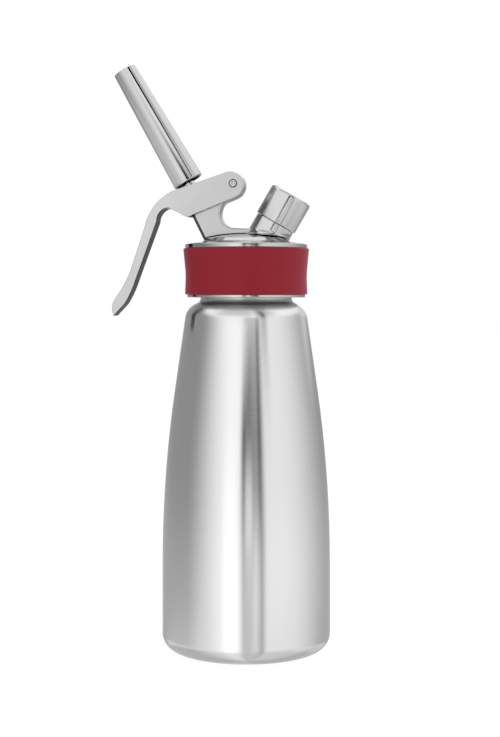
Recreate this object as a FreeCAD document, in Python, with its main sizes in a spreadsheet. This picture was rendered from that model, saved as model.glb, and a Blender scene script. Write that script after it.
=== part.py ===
import FreeCAD, Part
import math
import os
import re

import Sketcher
from FreeCAD import Rotation, Vector

# A one-litre whipped cream dispenser in brushed stainless steel. The bottle stands on the XY plane
# about the Z axis. The nozzle leans toward -X, the charger connection leans toward +X, and the XZ
# plane is the plane of symmetry of the head. Distances "along" a tilted axis are measured from the
# point where that axis crosses the axis of the bottle.

doc = FreeCAD.newDocument("CreamWhipper")
sheet = doc.addObject("Spreadsheet::Sheet", "Sizes")

# The driving dimensions: lengths in millimetres, tilts, slopes and bends in degrees. They are written
# into the sheet, and every outline and placement below is bound to it.
SIZES = {
    # Bottle: radii and heights above the table
    "body_radius": 48.5,
    "foot_corner": 9.5,
    "foot_ring_width": 3.5,
    "base_recess": 2.5,
    "base_slope": 3,
    "straight_height": 50,
    "waist_radius": 41.3,
    "waist_height": 150,
    "shoulder_radius": 35.4,
    "shoulder_height": 191,
    "shoulder_end_projection": 2.2,
    "shoulder_rise": 8.6,
    "neck_radius": 26.4,
    "neck_length": 21.568,
    "lip_projection": 0.9,
    "lip_height": 2.4,
    "bottle_wall": 1.0,
    "thread_band_projection": 0.9,
    "thread_band_drop": 17.9,
    "thread_band_length": 11,
    # Head: skirt, grip band, rim and dome
    "foot_flange_thickness": 1.7,
    "skirt_gap": 0.168,
    "skirt_wall": 4.05,
    "foot_flange_projection": 2.4,
    "band_top_rise": 7.0,
    "band_top_thickness": 4.7,
    "band_waist_thickness": 3.2,
    "band_bottom_thickness": 3.7,
    "band_edge": 0.7,
    "band_rise": 15,
    "rim_projection": 3.6,
    "rim_thickness": 1.5,
    "crown_inset": 9.9,
    "crown_rise": 2.8,
    "dome_inset": 1.7,
    "dome_step": 1.6,
    "dome_rise": 2.6,
    "neck_gap": 0.45,
    "gasket_thickness": 2.5,
    "gasket_inner_radius": 21.5,
    "gasket_gap": 0.05,
    "gasket_tab_width": 8,
    "gasket_tab_reach": 3,
    "head_recess_radius": 20.5,
    "head_recess_depth": 4.6,
    # Valve axis: everything that turns or slides about the leaning nozzle axis
    "valve_axis_drop": 12.4,
    "valve_tilt": 30,
    "valve_seat": 19,
    "valve_boss_radius": 8.4,
    "valve_boss_length": 12,
    "guide_radius": 5.9,
    "guide_length": 8,
    "ring_groove_offset": 2.9,
    "ring_groove_length": 1.9,
    "ring_groove_depth": 1.3,
    "stem_radius": 3.1,
    "stem_bore_radius": 1.8,
    "stem_hole_gap": 0.24,
    "stem_tail_radius": 2.3,
    "stem_tail_length": 5,
    "stem_floor": 0.6,
    "port_radius": 0.9,
    "port_offset": 1.7,
    "valve_washer_radius": 5.4,
    "valve_washer_thickness": 2,
    "valve_disc_height": 4,
    "valve_disc_slot": 1.2,
    "chamber_floor": 34,
    "chamber_gap": 0.4,
    "spring_seat_thickness": 0.8,
    "spring_wire_radius": 0.4,
    "spring_coil_radius": 4.0,
    "spring_turns": 6,
    "spring_steps": 12,
    "collar_rise": 4.5,
    "collar_radius": 5.5,
    "collar_thickness": 3.5,
    "press_gap": 0.02,
    "running_gap": 0.08,
    "overcut": 1,
    # Nozzle
    "lever_room": 9.5,
    "nozzle_grip": 9,
    "nozzle_length": 75.4,
    "nozzle_base_radius": 8.9,
    "nozzle_tip_radius": 6.9,
    "nozzle_bore_radius": 5.5,
    "nozzle_edge": 0.8,
    "nozzle_tip_edge": 0.3,
    "nozzle_foot_rim": 0.5,
    "nozzle_foot_depth": 4,
    "nozzle_recess_radius": 4.6,
    "nozzle_recess_length": 3,
    "nozzle_seal_thickness": 1.2,
    # Charger axis
    "charger_axis_drop": 7.9,
    "charger_tilt": 30,
    "stub_root": 22,
    "stub_shoulder": 34.2,
    "stub_neck_radius": 10.6,
    "stub_step": 1.15,
    "stub_top": 49.5,
    "stub_chamfer": 0.8,
    "socket_radius": 6.0,
    "socket_floor": 33.5,
    "pin_holder_thickness": 2.5,
    "piercing_pin_radius": 1.2,
    "piercing_pin_bore": 0.5,
    "piercing_pin_length": 9.5,
    "piercing_tip": 2.5,
    "piercing_seal_thickness": 2.4,
    "gas_hole_radius": 1.0,
    "check_boss_radius": 6.6,
    "check_boss_foot": 16,
    "check_bore_radius": 4.4,
    "check_bore_end": 24,
    "check_tail": 9,
    "check_tail_radius": 2.8,
    "check_head_length": 1.2,
    "check_sleeve_wall": 0.9,
    "cap_wall": 1.7,
    "cap_roof": 2.3,
    "cap_edge_round": 1.7,
    "cap_thread_gap": 0.3,
    "cap_seat_gap": 0.15,
    "liner_thickness": 1.2,
    # Web of the head casting, seen from the side
    "web_play": 0.4,
    "web_corner_round": 2.8,
    "boss_top": 49.5,
    "boss_back_top": 7.7,
    "boss_back_bottom": 9.0,
    "boss_front_top": 7.5,
    "boss_foot": 28.5,
    "web_floor_rise": 10.1,
    "web_stub_low": 24,
    "web_stub_high": 31.2,
    "notch_x": -6.0,
    "notch_rise": 26.9,
    "notch_radius": 8.3,
    "notch_floor_rise": 18.4,
    "notch_floor_end": 0.8,
    "notch_floor_bend": 88,
    "notch_side_bend": 62,
    "tongue_neck_back": 2.2,
    "tongue_neck_drop": 9,
    "tongue_throat_reach": 5.4,
    "tongue_throat_drop": 4.8,
    "tongue_bend": 250,
    "tongue_shoulder_rise": 2,
    "tongue_shoulder": 14.5,
    # Lever: its outline is placed from the pivot
    "pivot_reach": 22.324,
    "pivot_drop": 5.033,
    "pin_radius": 2.3,
    "pin_projection": 0.25,
    "pin_dimple_radius": 1.0,
    "pin_dimple_depth": 0.5,
    "lever_half_width": 9.0,
    "cheek_thickness": 2.1,
    "grip_half_width": 7.6,
    "taper_start_x": -34,
    "taper_end_x": -52,
    "lever_end_x": -1.7,
    "lever_end_z": -0.9,
    "lever_end_radius": 7.8,
    "top_edge_slope": 19,
    "bottom_edge_slope": 22,
    "knee_x": -35.8,
    "knee_outer_x": -51.3,
    "knee_outer_z": -24.3,
    "knee_bend": 51,
    "grip_run": 8.7,
    "grip_fall": 26.2,
    "flare_run": 8.4,
    "flare_fall": 15.2,
    "flare_bend": 14,
    "tip_run": 1.2,
    "tip_fall": 10.7,
    "tip_bend": 62,
    "tip_thickness": 6.5,
    "tip_slant": 7,
    "palm_thickness": 3.3,
    "palm_fall": 5.1,
    "palm_bend": 14,
    "hook_thickness": 7,
    "hook_rise": 2.7,
    "hook_run": 6.4,
    "hook_height": 7.9,
    "hook_bend": 80,
    "heel_run": 6.6,
    "heel_z": -17.3,
    "heel_end_x": -23.6,
    "heel_bend": 75,
    "bridge_thickness": 4,
    "channel_back": 9.5,
    "fork_start": 8.5,
    "slot_play": 0.5,
    "slot_back": 0.9,
    "slot_reach": 2.6,
    "nose_radius": 3.2,
    "nose_gap": 0.05,
}

# Bends of the deep-drawn bottle wall: the curve above the straight part, the lean of the taper that
# follows, the round shoulder, and the hollow curve into the neck
WALL_BEND = "2 * atan((body_radius - waist_radius) / (waist_height - straight_height))"
TAPER_LEAN = "atan((waist_radius - shoulder_radius) / (shoulder_height - waist_height))"
SHOULDER_LEAN = "atan((shoulder_radius - neck_radius - shoulder_end_projection) / shoulder_rise)"
SHOULDER_BEND = f"2 * ({SHOULDER_LEAN} - {TAPER_LEAN})"
NECK_BEND = f"({TAPER_LEAN} + {SHOULDER_BEND})"

# What follows from the driving dimensions. The neck stands on the shoulder, the head seats on the mouth
# of the bottle, and the lever seats on the collar of the valve stem, so these places move with them.
PLACES = {
    "foot_ring_inner": "body_radius - foot_corner - foot_ring_width",
    "shoulder_end_radius": "neck_radius + shoulder_end_projection",
    "shoulder_top": "shoulder_height + shoulder_rise",
    "neck_start": f"shoulder_top + shoulder_end_projection / tan({NECK_BEND} / 2)",
    "mouth_height": "neck_start + neck_length",
    "thread_band_start": "mouth_height - thread_band_drop",
    "head_bore": "neck_radius + lip_projection + neck_gap",
    "head_ceiling": "mouth_height + gasket_gap + gasket_thickness + gasket_gap",
    "skirt_height": "neck_start + skirt_gap",
    "band_seat_radius": "head_bore + skirt_wall",
    "band_bottom": "skirt_height + foot_flange_thickness",
    "band_top": "mouth_height + band_top_rise",
    "rim_radius": "band_seat_radius + rim_projection",
    "crown_radius": "rim_radius - crown_inset",
    "dome_radius": "crown_radius - dome_inset",
    "valve_axis_height": "mouth_height - valve_axis_drop",
    "stem_hole_radius": "stem_radius + stem_hole_gap",
    "chamber_radius": "spring_coil_radius + spring_wire_radius + chamber_gap",
    "collar_seat": "boss_top + collar_rise",
    "collar_top": "collar_seat + collar_thickness",
    "nozzle_base": "collar_top + lever_room",
    "stem_top": "nozzle_base + nozzle_grip",
    "charger_axis_height": "mouth_height - charger_axis_drop",
    "stub_radius": "stub_neck_radius + stub_step",
    "piercing_pin_top": "socket_floor + piercing_pin_length",
    "cap_bore": "stub_neck_radius + cap_thread_gap",
    "cap_radius": "cap_bore + cap_wall",
    "web_half_width": "lever_half_width - cheek_thickness - web_play",
    "web_floor": "mouth_height + web_floor_rise",
    "notch_z": "mouth_height + notch_rise",
    "notch_floor": "mouth_height + notch_floor_rise",
    "pivot_along": "collar_top - pivot_drop",
    "pivot_x": "pivot_reach * cos(valve_tilt) - pivot_along * sin(valve_tilt)",
    "pivot_z": "valve_axis_height + pivot_reach * sin(valve_tilt) + pivot_along * cos(valve_tilt)",
    "grip_outer_x": "knee_outer_x - grip_run",
    "grip_outer_z": "knee_outer_z - grip_fall",
    "flare_x": "grip_outer_x - flare_run",
    "flare_z": "grip_outer_z - flare_fall",
    "tip_x": "flare_x - tip_run",
    "tip_z": "flare_z - tip_fall",
    "hook_x": "knee_outer_x + hook_thickness",
    "hook_z": "knee_outer_z + hook_rise",
}

for row, (alias, value) in enumerate((SIZES | PLACES).items(), start=1):
    sheet.set(f"A{row}", alias)
    sheet.set(f"B{row}", f"={value}")
    sheet.setAlias(f"B{row}", alias)
doc.recompute()


def bound(text):
    """Turns bare size names in an expression into references to the sheet."""

    def reference(word):
        return f"Sizes.{word[0]}" if word[0] in SIZES or word[0] in PLACES else word[0]

    return re.sub(r"[A-Za-z_]\w*", reference, text)


def number(text):
    """The present value of an expression."""
    result = sheet.evalExpression(bound(text))
    return float(getattr(result, "Value", result))


# ---------------------------------------------------------------- sketches and features


def curved_edge(start, end, turn):
    """The arc that leaves start, bends by turn degrees (positive to the left) and meets end."""
    chord = end - start
    half = math.radians(abs(turn) / 2)
    side = Vector(-chord.y, chord.x, 0) * math.copysign(1, turn)
    centre = (start + end) * 0.5 + side * (0.5 / math.tan(half))
    circle = Part.Circle(centre, Vector(0, 0, 1), chord.Length / (2 * math.sin(half)))
    first, last = (start, end) if turn > 0 else (end, start)
    first_angle = math.atan2(first.y - centre.y, first.x - centre.x)
    last_angle = math.atan2(last.y - centre.y, last.x - centre.x)
    if last_angle <= first_angle:
        last_angle += 2 * math.pi
    return Part.ArcOfCircle(circle, first_angle, last_angle)


def draw_outline(sketch, points):
    """A closed outline whose corners are bound to the sheet. Each point is (across, up), or
    (across, up, turn) where the edge that leaves it is an arc bending by turn (left positive)."""
    corners = [Vector(number(point[0]), number(point[1]), 0) for point in points]
    ends = []
    for index, point in enumerate(points):
        start = corners[index]
        end = corners[(index + 1) % len(points)]
        turn = number(point[2]) if len(point) > 2 else 0
        if turn:
            edge = sketch.addGeometry(curved_edge(start, end, turn), False)
            span = sketch.addConstraint(Sketcher.Constraint("Angle", edge, math.radians(abs(turn))))
            sketch.setExpression(f"Constraints[{span}]", bound(f"abs({point[2]})"))
        else:
            edge = sketch.addGeometry(Part.LineSegment(start, end), False)
        ends.append((edge, 2, 1) if turn < 0 else (edge, 1, 2))
    for index, point in enumerate(points):
        edge, first, last = ends[index]
        after, after_first, _ = ends[(index + 1) % len(points)]
        sketch.addConstraint(Sketcher.Constraint("Coincident", edge, last, after, after_first))
        corner = corners[index]
        for kind, text, value in (("DistanceX", point[0], corner.x), ("DistanceY", point[1], corner.y)):
            held = sketch.addConstraint(Sketcher.Constraint(kind, -1, 1, edge, first, value))
            sketch.setExpression(f"Constraints[{held}]", bound(text))


# Each tilted axis: the height where it crosses the bottle's axis, the direction it is turned about,
# and its tilt
AXES = {
    "valve": ("valve_axis_height", Vector(0, -1, 0), "valve_tilt"),
    "charger": ("charger_axis_height", Vector(0, 1, 0), "charger_tilt"),
}


def set_on_axis(item, axis):
    """Places an object so that its own Z axis runs along one of the tilted axes."""
    if axis is None:
        return
    height, about, tilt = AXES[axis]
    item.Placement = FreeCAD.Placement(Vector(0, 0, number(height)), Rotation(about, number(tilt)))
    item.setExpression("Placement.Base.z", bound(height))
    item.setExpression("Placement.Rotation.Angle", bound(tilt))


def new_body(label, axis=None):
    body = doc.addObject("PartDesign::Body", label)
    body.Label = label
    set_on_axis(body, axis)
    return body


def sketch_on(body, role, name, points):
    """A bound outline on one of the body's own origin planes."""
    sketch = body.newObject("Sketcher::SketchObject", name)
    plane = [item for item in body.Origin.OriginFeatures if item.Role == role][0]
    sketch.AttachmentSupport = [(plane, "")]
    sketch.MapMode = "FlatFace"
    draw_outline(sketch, points)
    return sketch


def turn_profile(body, points, kind="Revolution", name="Turned"):
    """Revolves (or, as a Groove, cuts) a radius-height outline about the body's Z axis."""
    sketch = sketch_on(body, "XZ_Plane", f"{name}Profile", points)
    feature = body.newObject(f"PartDesign::{kind}", name)
    feature.Profile = (sketch, [""])
    feature.ReferenceAxis = (sketch, ["V_Axis"])
    feature.Angle = 360
    doc.recompute()
    return feature


def turned(label, points, axis=None):
    """A turned piece: one outline revolved about its axis."""
    body = new_body(label, axis)
    turn_profile(body, points)
    return body


def pad_or_pocket(body, role, points, width, kind, name):
    """Pads or pockets an outline to the same depth on both sides of its plane."""
    sketch = sketch_on(body, role, f"{name}Profile", points)
    feature = body.newObject(f"PartDesign::{kind}", name)
    feature.Profile = (sketch, [""])
    feature.SideType = "Symmetric"
    feature.Length = number(width)
    feature.setExpression("Length", bound(width))
    doc.recompute()
    return feature


def round_edges(body, picked, radius, name):
    """Fillets the edges of the body's last feature for which picked(edge) is true."""
    base = body.Tip
    found = [f"Edge{index + 1}" for index, edge in enumerate(base.Shape.Edges) if picked(edge)]
    fillet = body.newObject("PartDesign::Fillet", name)
    fillet.Base = (base, found)
    fillet.Radius = number(radius)
    fillet.setExpression("Radius", bound(radius))
    doc.recompute()
    return fillet


def rod(name, radius, start, end, axis=None):
    """A plain cylinder between two distances along an axis."""
    item = doc.addObject("Part::Cylinder", name)
    set_on_axis(item, axis)
    item.setExpression("Radius", bound(radius))
    item.setExpression("Height", bound(f"({end}) - ({start})"))
    if axis is None:
        item.setExpression("Placement.Base.z", bound(start))
        return item
    height, about, tilt = AXES[axis]
    lean = -1 if about.y < 0 else 1
    item.setExpression("Placement.Base.x", bound(f"{lean} * ({start}) * sin({tilt})"))
    item.setExpression("Placement.Base.z", bound(f"{height} + ({start}) * cos({tilt})"))
    return item


def cross_rod(name, radius, half_length, x, z):
    """A cylinder across the plane of symmetry, centred on it."""
    item = doc.addObject("Part::Cylinder", name)
    item.Placement = FreeCAD.Placement(Vector(0, 0, 0), Rotation(Vector(1, 0, 0), -90))
    item.setExpression("Radius", bound(radius))
    item.setExpression("Height", bound(f"2 * ({half_length})"))
    item.setExpression("Placement.Base.x", bound(x))
    item.setExpression("Placement.Base.y", bound(f"-({half_length})"))
    item.setExpression("Placement.Base.z", bound(z))
    return item


def fuse(name, items):
    joined = doc.addObject("Part::MultiFuse", name)
    joined.Shapes = items
    return joined


def cut(name, base, items):
    """Takes one or more objects away from a base."""
    tool = items[0] if len(items) == 1 else fuse(f"{name}_cuts", items)
    result = doc.addObject("Part::Cut", name)
    result.Base = base
    result.Tool = tool
    result.Label = name
    return result


def ring(label, inner, outer, bottom, top, axis=None):
    """A turned ring of rectangular section."""
    return turned(label, [(inner, bottom), (outer, bottom), (outer, top), (inner, top)], axis)


def disc(label, radius, bottom, top, axis=None):
    """A turned solid disc."""
    return turned(label, [("0", bottom), (radius, bottom), (radius, top), ("0", top)], axis)


# ---------------------------------------------------------------- bottle


def chords(centre_x, centre_z, radius, start, end, count):
    """Points along an arc about a centre, from one angle to another, joined by short straight runs."""
    points = []
    for step in range(count + 1):
        angle = f"({start}) + (({end}) - ({start})) * {step} / {count}"
        points.append((f"{centre_x} + ({radius}) * cos({angle})", f"{centre_z} + ({radius}) * sin({angle})"))
    return points


def make_bottle():
    """A deep-drawn bottle: recessed foot, slow taper, round shoulder, open neck with a rolled lip."""
    body = new_body("bottle")
    band_top = "thread_band_start + thread_band_length"
    crest = "neck_radius + thread_band_projection"
    lip = "neck_radius + lip_projection"
    taper_wall = f"bottle_wall / cos({TAPER_LEAN})"
    middle = "(straight_height + waist_height) / 2"
    bulge = f"(waist_height - straight_height) / 2 * tan({WALL_BEND} / 4)"
    turn_profile(body, [
        ("0", "base_recess"),
        ("foot_ring_inner - base_slope", "base_recess"),
        ("foot_ring_inner", "0"),
        *chords("body_radius - foot_corner", "foot_corner", "foot_corner", "-90", "0", 4),
        ("body_radius", "straight_height", WALL_BEND),
        ("waist_radius", "waist_height"),
        ("shoulder_radius", "shoulder_height", SHOULDER_BEND),
        ("shoulder_end_radius", "shoulder_top", f"-{NECK_BEND}"),
        ("neck_radius", "neck_start"),
        ("neck_radius", "thread_band_start - thread_band_projection"),
        (crest, "thread_band_start"),
        (crest, band_top),
        ("neck_radius", f"{band_top} + thread_band_projection"),
        ("neck_radius", "mouth_height - lip_height"),
        (lip, "mouth_height - lip_height + lip_projection"),
        (lip, "mouth_height - lip_projection"),
        ("neck_radius", "mouth_height"),
        ("neck_radius - bottle_wall", "mouth_height"),
        ("neck_radius - bottle_wall", "neck_start"),
        (f"shoulder_end_radius - bottle_wall * cos({NECK_BEND})",
         f"shoulder_top - bottle_wall * sin({NECK_BEND})"),
        (f"shoulder_radius - {taper_wall}", "shoulder_height"),
        (f"waist_radius - {taper_wall}", "waist_height"),
        (f"(body_radius + waist_radius) / 2 + {bulge} - {taper_wall}", middle),
        ("body_radius - bottle_wall", "straight_height"),
        *chords("body_radius - foot_corner", "foot_corner", "foot_corner - bottle_wall", "0", "-90", 2),
        ("foot_ring_inner", "bottle_wall"),
        ("foot_ring_inner - base_slope", "base_recess + bottle_wall"),
        ("0", "base_recess + bottle_wall"),
    ], name="Drawn")
    return body


# ---------------------------------------------------------------- head

RIM_TOP = "band_top + rim_thickness"
CROWN_TOP = f"{RIM_TOP} + crown_rise"
DOME_EDGE = f"{CROWN_TOP} + dome_step"
DOME_BEND = "2 * atan(dome_rise / dome_radius)"


def head_shell():
    """The turned part of the head: skirt, band seat, rim, sloping crown and shallow dome."""
    roof = "head_ceiling + head_recess_depth"
    return turned("head_shell", [
        ("0", roof),
        ("head_recess_radius", roof),
        ("head_recess_radius", "head_ceiling"),
        ("head_bore", "head_ceiling"),
        ("head_bore", "skirt_height"),
        ("band_seat_radius + foot_flange_projection", "skirt_height"),
        ("band_seat_radius + foot_flange_projection", "band_bottom"),
        ("band_seat_radius", "band_bottom"),
        ("band_seat_radius", "band_top"),
        ("rim_radius", "band_top"),
        ("rim_radius", RIM_TOP),
        ("crown_radius", CROWN_TOP),
        ("dome_radius", DOME_EDGE, DOME_BEND),
        ("0", f"{DOME_EDGE} + dome_rise"),
    ])


def along(axis, distance, across, part):
    """The x or z of a point at a distance along a tilted axis and a distance across it."""
    height, about, tilt = AXES[axis]
    lean = -1 if about.y < 0 else 1
    if part == "x":
        return f"{lean} * ({distance}) * sin({tilt}) + ({across}) * cos({tilt})"
    return f"{height} + ({distance}) * cos({tilt}) - {lean} * ({across}) * sin({tilt})"


def at(axis, distance, across):
    return (along(axis, distance, across, "x"), along(axis, distance, across, "z"))


def head_web():
    """The flat plate of the casting: it holds the valve boss, reaches up to the pivot as a tongue, and
    is bitten out by the round notch between the tongue and the charger connection."""
    body = new_body("head_web")
    notch_bottom = "notch_z - notch_radius"
    pad_or_pocket(body, "XZ_Plane", [
        at("valve", "boss_foot", "-boss_back_bottom"),
        at("valve", "boss_foot", "0"),
        ("notch_x", "web_floor"),
        at("charger", "web_stub_low", "0"),
        at("charger", "web_stub_high", "0"),
        ("notch_floor_end", "notch_floor"),
        ("notch_x", notch_bottom, "-notch_floor_bend"),
        ("notch_x - notch_radius", "notch_z", "-notch_side_bend"),
        ("pivot_x - tongue_neck_back", "pivot_z - tongue_neck_drop"),
        ("pivot_x + tongue_throat_reach", "pivot_z - tongue_throat_drop", "tongue_bend"),
        at("valve", "boss_top + tongue_shoulder_rise", "tongue_shoulder"),
        at("valve", "boss_top", "boss_front_top"),
        at("valve", "boss_top", "-boss_back_top"),
    ], "2 * web_half_width", "Pad", "Plate")
    back_x, back_z = at("valve", "boss_top", "-boss_back_top")
    corner = Vector(number(back_x), 0, number(back_z))
    half = number("web_half_width")
    close = 0.01

    def down_the_back(edge):
        """Whether an edge of either face starts at the plate's back corner and runs down."""
        ends = [vertex.Point for vertex in edge.Vertexes]
        on_a_face = all(math.isclose(abs(end.y), half) and end.y * ends[0].y > 0 for end in ends)
        starts_here = any(Vector(end.x - corner.x, 0, end.z - corner.z).Length < close for end in ends)
        return on_a_face and starts_here and min(end.z for end in ends) < corner.z - half

    round_edges(body, down_the_back, "web_corner_round", "BackCorners")
    return body


def charger_stub():
    """The round connection for the charger, stepped where the cap screws on."""
    return turned("charger_stub", [
        ("0", "stub_root"),
        ("stub_radius", "stub_root"),
        ("stub_radius", "stub_shoulder"),
        ("stub_neck_radius", "stub_shoulder"),
        ("stub_neck_radius", "stub_top - stub_chamfer"),
        ("stub_neck_radius - stub_chamfer", "stub_top"),
        ("0", "stub_top"),
    ], "charger")


GUIDE_TOP = "valve_seat + guide_length"


def make_head():
    """The head casting: shell, plate, charger stub and the two inner bosses, with every bore cut."""
    casting = fuse("head_blank", [
        head_shell(),
        head_web(),
        charger_stub(),
        rod("valve_boss", "valve_boss_radius", "valve_seat", "valve_seat + valve_boss_length", "valve"),
        rod("check_boss", "check_boss_radius", "check_boss_foot", "check_bore_end", "charger"),
    ])
    return cut("head_casting", casting, [
        rod("guide_bore", "guide_radius + press_gap", "valve_seat - overcut", GUIDE_TOP, "valve"),
        rod("stem_hole", "stem_hole_radius", "valve_seat", "chamber_floor + overcut", "valve"),
        rod("spring_chamber", "chamber_radius", "chamber_floor", "boss_top + overcut", "valve"),
        rod("socket", "socket_radius", "socket_floor", "stub_top + overcut", "charger"),
        rod("gas_hole", "gas_hole_radius", "check_bore_end - overcut", "socket_floor + overcut", "charger"),
        rod("check_bore", "check_bore_radius + press_gap", "check_boss_foot - overcut", "check_bore_end",
            "charger"),
        cross_rod("pivot_hole", "pin_radius + running_gap", "web_half_width + overcut", "pivot_x", "pivot_z"),
    ])


def make_band():
    """The soft sleeve around the head: slightly waisted, with softened edges."""
    return turned("grip_band", [
        ("band_seat_radius", "band_bottom"),
        ("band_seat_radius + band_bottom_thickness - band_edge", "band_bottom"),
        ("band_seat_radius + band_bottom_thickness", "band_bottom + band_edge"),
        ("band_seat_radius + band_waist_thickness", "band_top - band_rise"),
        ("band_seat_radius + band_top_thickness", "band_top - band_edge"),
        ("band_seat_radius + band_top_thickness - band_edge", "band_top"),
        ("band_seat_radius", "band_top"),
    ])


def make_gasket():
    """The head gasket: a flat ring with a small pull tab inside it."""
    bottom = "mouth_height + gasket_gap"
    top = f"{bottom} + gasket_thickness"
    body = ring("head_gasket", "gasket_inner_radius", "head_bore - 2 * gasket_gap", bottom, top)
    inside = "-(gasket_inner_radius - gasket_tab_reach)"
    rooted = "-(gasket_inner_radius + gasket_tab_reach / 2)"
    pad_or_pocket(body, "YZ_Plane", [
        (rooted, bottom),
        (inside, bottom),
        (inside, top),
        (rooted, top),
    ], "gasket_tab_width", "Pad", "Tab")
    return body


# ---------------------------------------------------------------- valve

WASHER_FOOT = "valve_seat - valve_washer_thickness"


def make_guide():
    """The valve guide, pressed in from below: its lower face is the valve seat."""
    groove = "valve_seat + ring_groove_offset"
    bore = "stem_radius + running_gap"
    return turned("valve_guide", [
        (bore, "valve_seat"),
        ("guide_radius", "valve_seat"),
        ("guide_radius", GUIDE_TOP),
        (bore, GUIDE_TOP),
        (bore, f"{groove} + ring_groove_length"),
        (f"{bore} + ring_groove_depth", f"{groove} + ring_groove_length"),
        (f"{bore} + ring_groove_depth", groove),
        (bore, groove),
    ], "valve")


def make_stem_ring():
    """The square-section ring in the guide that seals against the stem."""
    foot = "valve_seat + ring_groove_offset + running_gap"
    return ring("stem_ring", "stem_radius + press_gap", "stem_radius + ring_groove_depth", foot,
                f"{foot} + ring_groove_length - 2 * running_gap", "valve")


def make_stem():
    """The hollow valve stem: closed at its foot, with cross ports just above the valve washer."""
    shoulder = "valve_seat"
    foot = f"{WASHER_FOOT} - stem_tail_length"
    floor = "valve_seat + stem_floor"
    tube = turned("stem_tube", [
        ("0", foot),
        ("stem_tail_radius", foot),
        ("stem_tail_radius", shoulder),
        ("stem_radius", shoulder),
        ("stem_radius", "stem_top"),
        ("stem_bore_radius", "stem_top"),
        ("stem_bore_radius", floor),
        ("0", floor),
    ], "valve")
    port_x, port_z = at("valve", "valve_seat + port_offset", "0")
    port = cross_rod("stem_port", "port_radius", "stem_radius + overcut", port_x, port_z)
    return cut("valve_stem", tube, [port])


def make_washer():
    """The soft washer that closes against the guide."""
    return ring("valve_washer", "stem_tail_radius + press_gap", "valve_washer_radius",
                WASHER_FOOT, "valve_seat", "valve")


def make_disc():
    """The nut that clamps the valve washer, with a screwdriver slot in its foot."""
    foot = f"{WASHER_FOOT} - valve_disc_height"
    bore = "stem_tail_radius + press_gap"
    body = ring("valve_disc", bore, "valve_washer_radius", foot, WASHER_FOOT, "valve")
    pad_or_pocket(body, "XZ_Plane", [
        ("-valve_disc_slot / 2", foot),
        ("valve_disc_slot / 2", foot),
        ("valve_disc_slot / 2", f"{foot} + valve_disc_slot"),
        ("-valve_disc_slot / 2", f"{foot} + valve_disc_slot"),
    ], "2 * (valve_washer_radius + overcut)", "Pocket", "Slot")
    return body


def make_spring_seat():
    """The flat washer under the return spring."""
    return ring("spring_seat", "stem_hole_radius", "chamber_radius - running_gap",
                "chamber_floor", "chamber_floor + spring_seat_thickness", "valve")


def make_spring():
    """The return spring: a wire wound as a helix between its seat washer and the collar."""
    wire = number("spring_wire_radius")
    coil = number("spring_coil_radius")
    foot = "chamber_floor + spring_seat_thickness + spring_wire_radius"
    rise = number(f"collar_seat - spring_wire_radius - ({foot})")
    steps = round(number("spring_turns * spring_steps"))
    points = []
    for step in range(steps + 1):
        angle = 2 * math.pi * step / number("spring_steps")
        points.append(Vector(coil * math.cos(angle), coil * math.sin(angle), rise * step / steps))
    section = Part.makePolygon([
        points[0] + Vector(wire * math.cos(corner * math.pi / 3), 0, wire * math.sin(corner * math.pi / 3))
        for corner in range(7)
    ])
    spring = doc.addObject("Part::Feature", "valve_spring")
    spring.Label = "valve_spring"
    spring.Shape = Part.makePolygon(points).makePipeShell([section], True, False, 1)
    set_on_axis(spring, "valve")
    foot_x, foot_z = at("valve", foot, "0")
    spring.setExpression("Placement.Base.x", bound(foot_x))
    spring.setExpression("Placement.Base.z", bound(foot_z))
    return spring


def make_collar():
    """The collar on the stem that the lever presses and the spring lifts."""
    return turned("stem_collar", [
        ("stem_radius + press_gap", "collar_seat"),
        ("collar_radius", "collar_seat"),
        ("collar_radius", "collar_top - press_gap"),
        ("stem_radius + press_gap", "collar_top - press_gap"),
    ], "valve")


# ---------------------------------------------------------------- nozzle


def make_nozzle():
    """The tapered nozzle tube, hollow at its foot and screwed on to the top of the stem."""
    tip = "nozzle_base + nozzle_length"
    foot_radius = "nozzle_base_radius - nozzle_edge - nozzle_foot_rim"
    return turned("nozzle", [
        ("stem_radius + running_gap", "nozzle_base + nozzle_foot_depth"),
        (foot_radius, "nozzle_base + nozzle_foot_depth"),
        (foot_radius, "nozzle_base"),
        ("nozzle_base_radius - nozzle_edge", "nozzle_base"),
        ("nozzle_base_radius", "nozzle_base + nozzle_edge"),
        ("nozzle_tip_radius", f"{tip} - nozzle_tip_edge"),
        ("nozzle_tip_radius - nozzle_tip_edge", tip),
        ("nozzle_bore_radius", tip),
        ("nozzle_bore_radius", "stem_top + nozzle_recess_length"),
        ("nozzle_recess_radius", "stem_top + nozzle_recess_length"),
        ("nozzle_recess_radius", "stem_top"),
        ("stem_radius + running_gap", "stem_top"),
    ], "valve")


def make_nozzle_seal():
    """The flat seal between the top of the stem and the step inside the nozzle."""
    return ring("nozzle_seal", "stem_bore_radius", "nozzle_recess_radius - running_gap",
                "stem_top", "stem_top + nozzle_seal_thickness", "valve")


# ---------------------------------------------------------------- charger side


def make_check_plug():
    """The non-return valve: a hollow plug whose tail carries a rubber sleeve inside the bottle."""
    head_end = "check_tail + check_head_length"
    return turned("check_valve_plug", [
        ("gas_hole_radius", "check_bore_end"),
        ("gas_hole_radius", head_end),
        ("0", head_end),
        ("0", "check_tail"),
        ("check_tail_radius + check_sleeve_wall", "check_tail"),
        ("check_tail_radius + check_sleeve_wall", head_end),
        ("check_tail_radius", head_end),
        ("check_tail_radius", "check_boss_foot"),
        ("check_bore_radius", "check_boss_foot"),
        ("check_bore_radius", "check_bore_end"),
    ], "charger")


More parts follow.
